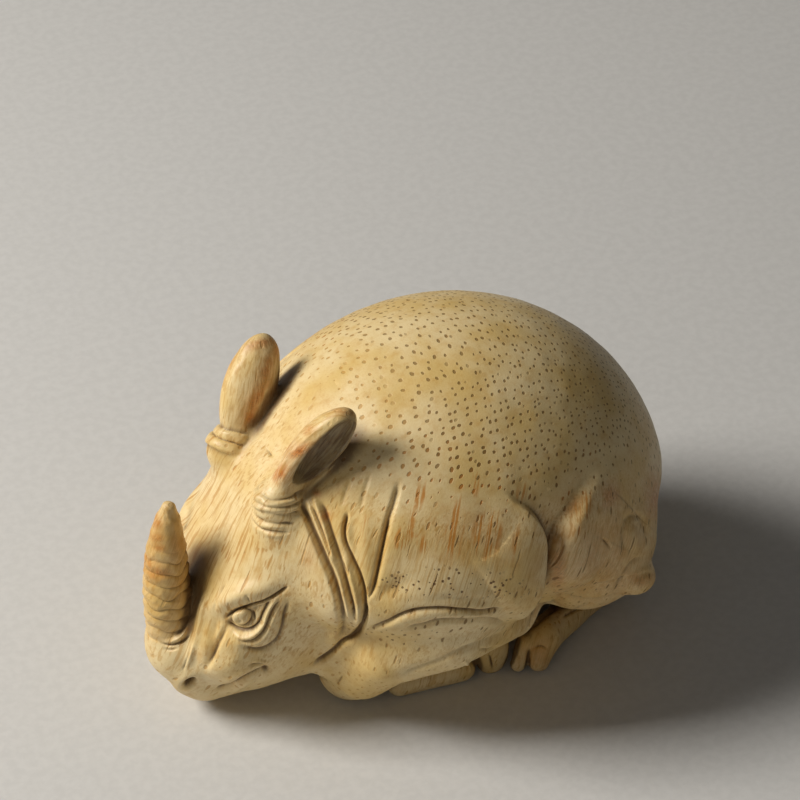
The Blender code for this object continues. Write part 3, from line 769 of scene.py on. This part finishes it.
# Painted shade: places cut so deep that they would stay in shade, darkened in the colour.
DEEP_CUT_SHADE = [
    ((190, 681), (5.5, 3.6), -32, 1.0),
    ((228, 622.5), (3.5, 3.0), 0, 0.7),
    ((254, 611), (3.0, 2.6), 0, 0.7),
    ((265, 669.5), (3.0, 2.5), 0, 0.6),
    ((179, 632), (7, 3), -30, 0.4),
]


def layout_patches(table, uv):
    total = np.zeros(len(uv))
    for centre, radii, turn, strength in table:
        c, s = math.cos(math.radians(turn)), math.sin(math.radians(turn))
        q = uv - np.array(centre)
        a = (q[:, 0] * c + q[:, 1] * s) / radii[0]
        b = (-q[:, 0] * s + q[:, 1] * c) / radii[1]
        total = np.maximum(total, strength * np.exp(-(a * a + b * b)))
    return total


def shut_in(p, n):
    """How hemmed in each point is by the form round it, 0 to 1; it drives the painted shade in hollows."""
    total = np.zeros(len(p))
    for reach, weight in ((0.5, 0.9), (1.2, 0.8), (2.6, 0.6), (5.0, 0.45)):
        d = in_parts(form, (p + reach * n).astype(np.float32))
        total += weight * np.clip(1 - d / reach, 0, 1)
    return np.clip(total / 1.6, 0, 1)


def evened(values, a, b, count, rounds):
    shared = np.bincount(a, minlength=count) + np.bincount(b, minlength=count)
    for _ in range(rounds):
        values = 0.5 * values + 0.5 * (np.bincount(a, values[b], count) + np.bincount(b, values[a], count)) / shared
    return values


def carved():
    points, quads = net(sampled())
    used = np.unique(quads)
    again = np.full(len(points), -1)
    again[used] = np.arange(len(used))
    points, quads = points[used], again[quads]
    points = settled(points)
    faces = np.concatenate([quads[:, [0, 1, 2]], quads[:, [0, 2, 3]]])
    volume = np.einsum("ij,ij->i", points[faces[:, 0]], np.cross(points[faces[:, 1]], points[faces[:, 2]])).sum()
    if volume < 0:
        faces = faces[:, ::-1]
    # the head, neck, ears, horn and feet in view are cut finer
    middle = points[faces].mean(1)
    q = middle.copy()
    q[:, 1] = -np.abs(q[:, 1])
    uv = laid_out(q)
    x, y = uv.T
    head = (x < 405) & (y > 325) & (y < 702) & (x + 0.9 * y < 1010 + 0 * x)
    legs = (y > 600) & (x > 330) & (x < 570)
    thigh = (x > 500) & (y > 450)
    wanted = (head | legs | thigh) & (middle[:, 1] < 2.5)
    points, faces = split(points, faces, wanted)
    points = settled(points, 1)
    normals = directions(points)
    height, on_horn, ears, uv, facing = relief(points, normals)
    count = len(points)
    ends = np.concatenate([faces[:, [0, 1]], faces[:, [1, 2]], faces[:, [2, 0]]])
    ends = np.unique(np.sort(ends, axis=1), axis=0)
    a, b = ends.T
    hemmed = shut_in(points, normals)
    rounds = 3
    hollow = evened(height, a, b, count, 10 * rounds) - height
    wide = evened(height, a, b, count, 60 * rounds) - height
    near, far = ears
    skin = (1 - on_horn) * (1 - np.maximum(near["leaf"], far["leaf"]))
    stain = skin * facing * layout_patches(SKIN_STAINS, uv)
    stain += on_horn * facing * layout_patches(HORN_STAINS, uv)
    own_uv = laid_out(points)
    stain += near["leaf"] * layout_patches(NEAR_EAR_STAINS, own_uv)
    stain += far["leaf"] * layout_patches(FAR_EAR_STAINS, own_uv)
    # painted shade: darker where the form hems a point in, where the relief is cut in, and across broad hollows
    painted_shade = np.clip(1.5 * (hemmed - 0.30), 0, 1) + np.clip(3.2 * hollow, 0, 0.6) + np.clip(1.1 * wide, 0, 0.35)
    # painted shade in the deepest cuts: nostril, eye corners, mouth corner
    painted_shade += skin * facing * layout_patches(DEEP_CUT_SHADE, uv)
    # paler where the relief stands proud, on ridges and broad swells
    raised_lighter = np.clip(-2.4 * hollow, 0, 0.6) + np.clip(-0.8 * wide, 0, 0.4)

    # the root's bundles: places across them and along them, and how squarely the surface cuts them
    x, y, z = points.T
    lift = np.clip((z - GRAIN_TURN_LOW) / GRAIN_TURN_SPAN, 0, None)
    turned = np.where(lift < 1, lift**3 - 0.5 * lift**4, lift - 0.5)
    turned *= GRAIN_TURN_SPAN
    rest = z - GRAIN_TURN_LOW
    step_up = np.clip(lift, 0, 1)
    step_up = step_up * step_up * (3 - 2 * step_up)
    half = np.tanh(-y / 10)
    across_x = x - GRAIN_BACK_LOW * rest + GRAIN_BACK_LESS * turned + 3.0
    across_y = y - (GRAIN_INWARD * rest - GRAIN_OUTWARD * turned) * half
    apart = DOTS_APART - DOTS_CLOSING * np.clip(across_x, -20, 26)
    gx = -np.log(apart / DOTS_APART) / DOTS_CLOSING + (across_x - np.clip(across_x, -20, 26)) / apart
    grain = np.stack([gx, across_y / apart, 1.08 * z], 1)
    back = GRAIN_BACK_LOW - GRAIN_BACK_LESS * step_up
    way = np.stack([back, (GRAIN_INWARD - GRAIN_OUTWARD * step_up) * half, np.ones(len(x))], 1)
    way /= np.linalg.norm(way, axis=1)[:, None]
    square = np.abs((way * normals).sum(1))
    arm = skin * facing * layout_patches(ARM_BUNDLES, uv)
    warm = skin * facing * layout_patches(WARM_BUNDLES, uv)
    large = facing * layout_patches(LARGE_BUNDLES, uv)
    streaks = skin * facing * layout_patches(STREAKS, uv)
    u, v = uv.T / VIEW_SCALE
    c, s = math.cos(math.radians(STREAK_LEAN_DEG)), math.sin(math.radians(STREAK_LEAN_DEG))
    lines = np.stack([u * c + v * s, u * s - v * c, 0 * u], 1)
    for one in ears:
        e = one["place"]
        on_leaf = np.stack([1.9 * np.arctan2(e[:, 1], 0.6 - e[:, 2]), e[:, 0], 0 * u], 1)
        lines = np.where(one["leaf"][:, None] > 0.3, on_leaf, lines)
    bold = 0.30 + 0.70 * smooth(-14.0, 2.0, across_x) * smooth(10.0, 20.0, z)
    bold = np.maximum(bold, 0.75 * smooth(12.0, 20.0, x))

    out = points + height[:, None] * normals
    out[:, 2] = np.maximum(out[:, 2], BASE_CUT) - BASE_CUT
    out[:, 0] -= MIDDLE_X
    return out, faces, {
        "painted_shade": np.clip(painted_shade, 0, 1),
        "raised_lighter": np.clip(raised_lighter, 0, 1),
        "stain": np.clip(stain, 0, 1),
        "horn": on_horn,
        "ear": np.maximum(near["leaf"], far["leaf"]),
        "inside_ear": np.maximum(near["within"], far["within"]),
        "square": square,
        "arm": arm,
        "warm": warm,
        "large": large,
        "streaks": streaks,
        "bold": bold,
    }, {"grain": grain, "place": points.copy(), "lines": lines}


def as_object(name, points, faces, floats, vectors):
    mesh = bpy.data.meshes.new(name)
    mesh.vertices.add(len(points))
    mesh.vertices.foreach_set("co", (points * MM).astype(np.float32).ravel())
    mesh.loops.add(len(faces) * 3)
    mesh.loops.foreach_set("vertex_index", faces.astype(np.int32).ravel())
    mesh.polygons.add(len(faces))
    mesh.polygons.foreach_set("loop_start", np.arange(0, len(faces) * 3, 3, dtype=np.int32))
    mesh.update(calc_edges=True)
    mesh.validate()
    for key, values in floats.items():
        made = mesh.attributes.new(key, "FLOAT", "POINT")
        made.data.foreach_set("value", values.astype(np.float32))
    for key, values in vectors.items():
        made = mesh.attributes.new(key, "FLOAT_VECTOR", "POINT")
        made.data.foreach_set("vector", values.astype(np.float32).ravel())
    obj = bpy.data.objects.new(name, mesh)
    bpy.context.scene.collection.objects.link(obj)
    return obj


def thinned(obj, most):
    count = len(obj.data.polygons)
    if count <= most:
        return
    thin = obj.modifiers.new("thin", "DECIMATE")
    thin.decimate_type = "COLLAPSE"
    thin.ratio = most / count
    graph = bpy.context.evaluated_depsgraph_get()
    mesh = bpy.data.meshes.new_from_object(obj.evaluated_get(graph))
    obj.modifiers.remove(thin)
    old = obj.data
    obj.data = mesh
    bpy.data.meshes.remove(old)


# ---------------------------------------------------------------- finish of the wood


class Nodes:
    """Short names for building a node tree."""

    def __init__(self, tree):
        self.tree = tree

    def add(self, kind, **settings):
        node = self.tree.nodes.new(kind)
        for key, value in settings.items():
            setattr(node, key, value)
        return node

    def link(self, a, b):
        self.tree.links.new(a, b)

    def put(self, socket, value):
        if isinstance(value, (int, float)):
            socket.default_value = value
        elif isinstance(value, tuple):
            socket.default_value = value
        else:
            self.link(value, socket)

    def math(self, operation, a, b=0.0, c=0.0, clamp=False):
        node = self.add("ShaderNodeMath", operation=operation, use_clamp=clamp)
        self.put(node.inputs[0], a)
        self.put(node.inputs[1], b)
        self.put(node.inputs[2], c)
        return node.outputs[0]

    def ramp(self, value, low, high, to_low=0.0, to_high=1.0):
        node = self.add("ShaderNodeMapRange", interpolation_type="SMOOTHSTEP")
        for socket, given in zip(node.inputs, (value, low, high, to_low, to_high)):
            self.put(socket, given)
        return node.outputs[0]

    def mix(self, factor, a, b, blend="MIX"):
        node = self.add("ShaderNodeMix", data_type="RGBA", blend_type=blend)
        self.put(node.inputs[0], factor)
        self.put(node.inputs[6], a)
        self.put(node.inputs[7], b)
        return node.outputs[2]

    def mix_value(self, factor, a, b):
        node = self.add("ShaderNodeMix", data_type="FLOAT")
        self.put(node.inputs[0], factor)
        self.put(node.inputs[2], a)
        self.put(node.inputs[3], b)
        return node.outputs[0]

    def value(self, name):
        return self.add("ShaderNodeAttribute", attribute_name=name).outputs["Fac"]

    def vector(self, name):
        return self.add("ShaderNodeAttribute", attribute_name=name).outputs["Vector"]

    def scaled(self, vector, factors):
        node = self.add("ShaderNodeVectorMath", operation="MULTIPLY")
        self.link(vector, node.inputs[0])
        node.inputs[1].default_value = factors
        return node.outputs[0]

    def noise(self, vector, scale, detail=2.0, rough=0.5):
        node = self.add("ShaderNodeTexNoise")
        self.link(vector, node.inputs["Vector"])
        node.inputs["Scale"].default_value = scale
        node.inputs["Detail"].default_value = detail
        node.inputs["Roughness"].default_value = rough
        return node.outputs["Fac"], node.outputs["Color"]


def srgb(r, g, b):
    """A colour given in 0 to 255 as a linear one."""

    def one(v):
        v /= 255
        return v / 12.92 if v <= 0.04045 else ((v + 0.055) / 1.055) ** 2.4

    return (one(r), one(g), one(b), 1.0)


CREAM = srgb(235, 213, 162)
STRAW = srgb(221, 190, 121)
HONEY = srgb(196, 148, 66)
DOT_OLIVE = srgb(122, 86, 24)
STREAK_ORANGE = srgb(196, 126, 36)
DOT_SMALL = srgb(96, 62, 18)
DOT_YELLOW = srgb(184, 132, 44)
DOT_ORANGE = srgb(184, 118, 40)
STAIN_ORANGE = srgb(196, 116, 34)
STAIN_BROWN = srgb(142, 84, 26)
# painted shade laid into crevices, grooves and deep cuts
CREVICE_SHADE = srgb(84, 50, 18)
# inside of the ears: their own brown, darkened further with painted shade
EAR_HOLLOW_BROWN_AND_SHADE = srgb(70, 44, 18)


def bamboo_root():
    mat = bpy.data.materials.new("bamboo_root")
    mat.use_nodes = True
    tree = mat.node_tree
    n = Nodes(tree)
    shader = tree.nodes["Principled BSDF"]
    grain = n.vector("grain")
    place = n.vector("place")
    square = n.value("square")
    warm, large, bold = n.value("warm"), n.value("large"), n.value("bold")

    def times(*values):
        total = values[0]
        for value in values[1:]:
            total = n.math("MULTIPLY", total, value)
        return total

    def plus(*values):
        total = values[0]
        for value in values[1:]:
            total = n.math("ADD", total, value)
        return total

    # bundles: one to a cell across the grain, with the cells wavering a little along it
    bend = n.noise(n.scaled(grain, (0.11, 0.11, 0.07)), 1.0, 1.0)[1]
    bent = n.add("ShaderNodeVectorMath", operation="MULTIPLY_ADD")
    n.link(bend, bent.inputs[0])
    bent.inputs[1].default_value = (1.8, 1.8, 0.0)
    n.link(grain, bent.inputs[2])
    cells = n.add("ShaderNodeTexVoronoi", voronoi_dimensions="2D", feature="F1")
    n.link(bent.outputs[0], cells.inputs["Vector"])
    cells.inputs["Scale"].default_value = 1.0
    cells.inputs["Randomness"].default_value = 0.62
    pick = n.add("ShaderNodeSeparateColor")
    n.link(cells.outputs["Color"], pick.inputs[0])
    chance, size, phase = pick.outputs[0], pick.outputs[1], pick.outputs[2]
    parts = n.add("ShaderNodeSeparateXYZ")
    n.link(grain, parts.inputs[0])
    # where the surface runs along a bundle it shows in dashes with drawn-out ends
    ahead = plus(n.math("MULTIPLY", parts.outputs[2], 0.17), n.math("MULTIPLY", phase, 7.0))
    dash = n.ramp(n.math("PINGPONG", ahead, 0.5), 0.06, 0.34)
    gap = n.ramp(square, 0.62, 0.85)
    shown = n.mix_value(gap, dash, 1.0)
    radius = plus(0.125, n.math("MULTIPLY", size, 0.065), n.math("MULTIPLY", large, 0.045))
    radius = times(radius, shown, n.ramp(square, 0.05, 0.60, 0.72, 1.0))
    ragged = n.noise(n.scaled(grain, (5.0, 5.0, 1.2)), 1.0, 2.0)[0]
    reach = plus(cells.outputs["Distance"], n.math("MULTIPLY", n.math("SUBTRACT", ragged, 0.5), 0.10))
    dot = n.ramp(n.math("SUBTRACT", radius, reach), -0.035, 0.045)
    dot = times(dot, n.ramp(chance, 0.0, 0.25, 0.45, 1.0))

    # small ends of bundles that come out through the arm and the folds
    out_cells = n.add("ShaderNodeTexVoronoi", voronoi_dimensions="3D", feature="F1")
    n.link(place, out_cells.inputs["Vector"])
    out_cells.inputs["Scale"].default_value = 1.0 / ARM_DOTS_APART
    out_cells.inputs["Randomness"].default_value = 0.9
    small = times(n.ramp(n.math("SUBTRACT", 0.25, out_cells.outputs["Distance"]), -0.02, 0.04), n.ramp(n.value("arm"), 0.15, 0.6))

    # fibres between the bundles
    fine = n.noise(n.scaled(grain, (5.5, 5.5, 0.30)), 1.0, 3.0, 0.6)[0]
    broad = n.noise(n.scaled(grain, (1.5, 1.5, 0.10)), 1.0, 2.0, 0.5)[0]
    cloud = n.noise(n.scaled(place, (0.12, 0.12, 0.12)), 1.0, 3.0, 0.55)[0]
    mottle = n.noise(n.scaled(place, (0.8, 0.8, 0.8)), 1.0, 3.0, 0.6)[0]
    grit = n.noise(n.scaled(place, (5.0, 5.0, 5.0)), 1.0, 2.0, 0.6)[0]

    base = n.mix(n.ramp(cloud, 0.35, 0.68), CREAM, STRAW)
    base = n.mix(times(n.ramp(mottle, 0.45, 0.80), 0.40), base, HONEY)
    lined = n.ramp(square, 0.30, 0.75, 1.0, 0.45)
    base = n.mix(times(n.ramp(fine, 0.50, 0.76), lined, 0.50), base, HONEY)
    base = n.mix(times(n.ramp(broad, 0.54, 0.74), lined, 0.42), base, HONEY)
    base = n.mix(times(n.ramp(grit, 0.50, 0.80), 0.18), base, HONEY)
    stain = n.value("stain")
    uneven = plus(times(fine, 0.9), times(mottle, 0.7))
    stained_here = n.math("MULTIPLY", stain, n.ramp(uneven, 0.48, 0.86), clamp=True)
    stain_tone = n.mix(n.ramp(plus(fine, times(grit, 0.6)), 0.78, 1.02), STAIN_ORANGE, STAIN_BROWN)
    base = n.mix(stained_here, base, stain_tone)

    streak = n.noise(n.scaled(grain, (3.4, 3.4, 0.15)), 1.0, 1.0, 0.5)[0]
    along = n.ramp(square, 0.30, 0.72, 1.0, 0.0)
    streak_on = n.math("MULTIPLY", n.ramp(streak, 0.56, 0.64), times(along, plus(0.36, times(warm, 0.45))), clamp=True)
    base = n.mix(streak_on, base, n.mix(n.ramp(plus(warm, times(mottle, 0.5)), 0.55, 1.1), DOT_YELLOW, DOT_ORANGE))
    lines = n.vector("lines")
    drawn = n.noise(n.scaled(lines, (4.0, 0.09, 1.0)), 1.0, 1.0, 0.5)[0]
    broken = n.noise(n.scaled(lines, (1.1, 0.45, 1.0)), 1.0, 1.0, 0.5)[0]
    drawn_on = times(n.ramp(drawn, 0.49, 0.56), n.ramp(plus(n.value("streaks"), times(broken, 0.5)), 0.50, 0.85), 0.80)
    base = n.mix(drawn_on, base, STREAK_ORANGE)
    hair = n.noise(n.scaled(lines, (4.2, 0.32, 1.0)), 1.0, 2.0, 0.6)[0]
    base = n.mix(times(n.ramp(hair, 0.52, 0.66), n.value("ear"), 0.42), base, DOT_YELLOW)
    base = n.mix(times(n.value("horn"), 0.34), base, HONEY)
    tone = n.mix(n.ramp(bold, 0.35, 0.80), DOT_YELLOW, DOT_OLIVE)
    tone = n.mix(times(n.ramp(plus(warm, times(chance, 0.55)), 0.45, 1.0), 0.85), tone, DOT_ORANGE)
    bare = plus(n.value("horn"), n.value("ear"))
    strength = n.math("MULTIPLY", plus(0.50, times(bold, 0.28), times(warm, 0.22), times(large, 0.12)), n.math("SUBTRACT", 1.0, times(bare, 0.85), clamp=True), clamp=True)
    dots_on = n.math("MULTIPLY", dot, strength, clamp=True)
    base = n.mix(dots_on, base, tone)
    base = n.mix(times(small, 0.9), base, DOT_SMALL)

    # painted shade in crevices, grooves and deep cuts, mixed over the base colour
    painted_shade = n.value("painted_shade")
    base = n.mix(times(n.ramp(painted_shade, 0.05, 1.0), 0.80), base, CREVICE_SHADE)
    # paler on the raised ridges and swells of the relief
    raised_lighter = n.value("raised_lighter")
    base = n.mix(times(raised_lighter, 0.22), base, CREAM)
    # inside of the ears: painted shade in the deep hollow, over their own brown
    inside = n.value("inside_ear")
    base = n.mix(times(inside, n.ramp(hair, 0.35, 0.65, 0.58, 0.78)), base, EAR_HOLLOW_BROWN_AND_SHADE)
    n.link(base, shader.inputs["Base Color"])

    rough = plus(0.38, times(mottle, 0.14), times(dot, 0.14), times(painted_shade, 0.18))
    n.link(rough, shader.inputs["Roughness"])

    # pits where bundles end, and fine fibres
    lift = plus(times(dot, -0.085), times(small, -0.07), times(fine, lined, 0.050), times(grit, 0.012))
    bump = n.add("ShaderNodeBump")
    bump.inputs["Strength"].default_value = 0.6
    bump.inputs["Distance"].default_value = 1.0 * MM
    n.link(lift, bump.inputs["Height"])
    n.link(bump.outputs[0], shader.inputs["Normal"])
    shader.inputs["Specular IOR Level"].default_value = 0.42
    shader.inputs["Subsurface Weight"].default_value = 0.0
    shader.inputs["Coat Weight"].default_value = 0.10
    shader.inputs["Coat Roughness"].default_value = 0.32
    return mat


# ---------------------------------------------------------------- room


def pale_floor():
    mesh = bpy.data.meshes.new("floor")
    half = 1.2
    mesh.from_pydata([(-half, -half, 0), (half, -half, 0), (half, half, 0), (-half, half, 0)], [], [(0, 1, 2, 3)])
    floor = bpy.data.objects.new("floor", mesh)
    floor.location.z = -0.00002
    bpy.context.scene.collection.objects.link(floor)
    mat = bpy.data.materials.new("floor_paper")
    mat.use_nodes = True
    n = Nodes(mat.node_tree)
    shader = mat.node_tree.nodes["Principled BSDF"]
    place = n.add("ShaderNodeTexCoord").outputs["Object"]
    speck = n.noise(place, 900.0, 3.0)[0]
    n.link(n.mix(n.ramp(speck, 0.3, 0.7), (0.62, 0.62, 0.61, 1), (0.66, 0.66, 0.65, 1)), shader.inputs["Base Color"])
    shader.inputs["Roughness"].default_value = 0.8
    mesh.materials.append(mat)


def softbox(name, towards, distance, size, watts, colour=(1, 1, 1)):
    """A square soft light, aimed at the carving's middle."""
    light = bpy.data.lights.new(name, "AREA")
    light.shape = "SQUARE"
    light.size = size
    light.energy = watts
    light.color = colour
    lamp = bpy.data.objects.new(name, light)
    way = Vector(towards).normalized()
    lamp.location = Vector((0, 0, 0.02)) + way * distance
    lamp.rotation_euler = way.to_track_quat("Z", "Y").to_euler()
    bpy.context.scene.collection.objects.link(lamp)


def view_camera():
    data = bpy.data.cameras.new("view")
    data.sensor_fit = "HORIZONTAL"
    data.sensor_width = 36.0
    data.lens = 36.0 * VIEW_DISTANCE * VIEW_SCALE / FRAME_SIDE
    data.clip_start, data.clip_end = 0.01, 10.0
    camera = bpy.data.objects.new("view", data)
    eye = EYE - np.array([MIDDLE_X, 0, BASE_CUT])
    turn = Matrix([list(RIGHT), list(UPWARD), list(TOWARDS)]).transposed()
    camera.matrix_world = Matrix.Translation(Vector(eye * MM)) @ turn.to_4x4()
    bpy.context.scene.collection.objects.link(camera)
    bpy.context.scene.camera = camera


def room_light():
    world = bpy.data.worlds.new("room")
    bpy.context.scene.world = world
    world.use_nodes = True
    back = world.node_tree.nodes["Background"]
    back.inputs["Color"].default_value = (1.0, 0.96, 0.90, 1)
    back.inputs["Strength"].default_value = 0.070
    bpy.context.scene.view_settings.view_transform = "Standard"


def main():
    points, faces, floats, vectors = carved()
    figure = as_object("rhino_figure", points, faces, floats, vectors)
    thinned(figure, MOST_TRIANGLES)
    figure.data.shade_smooth()
    figure.data.materials.append(bamboo_root())
    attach(figure, "root")
    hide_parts("rhino_carving")
    pale_floor()
    softbox("key", (-0.86, 0.34, 0.80), 0.55, 0.22, 3.3, (1.0, 0.955, 0.89))
    softbox("fill", (-0.75, -0.8, 0.55), 0.70, 0.60, 0.26, (1.0, 0.95, 0.90))
    room_light()
    view_camera()
    print("triangles", len(figure.data.polygons))


main()
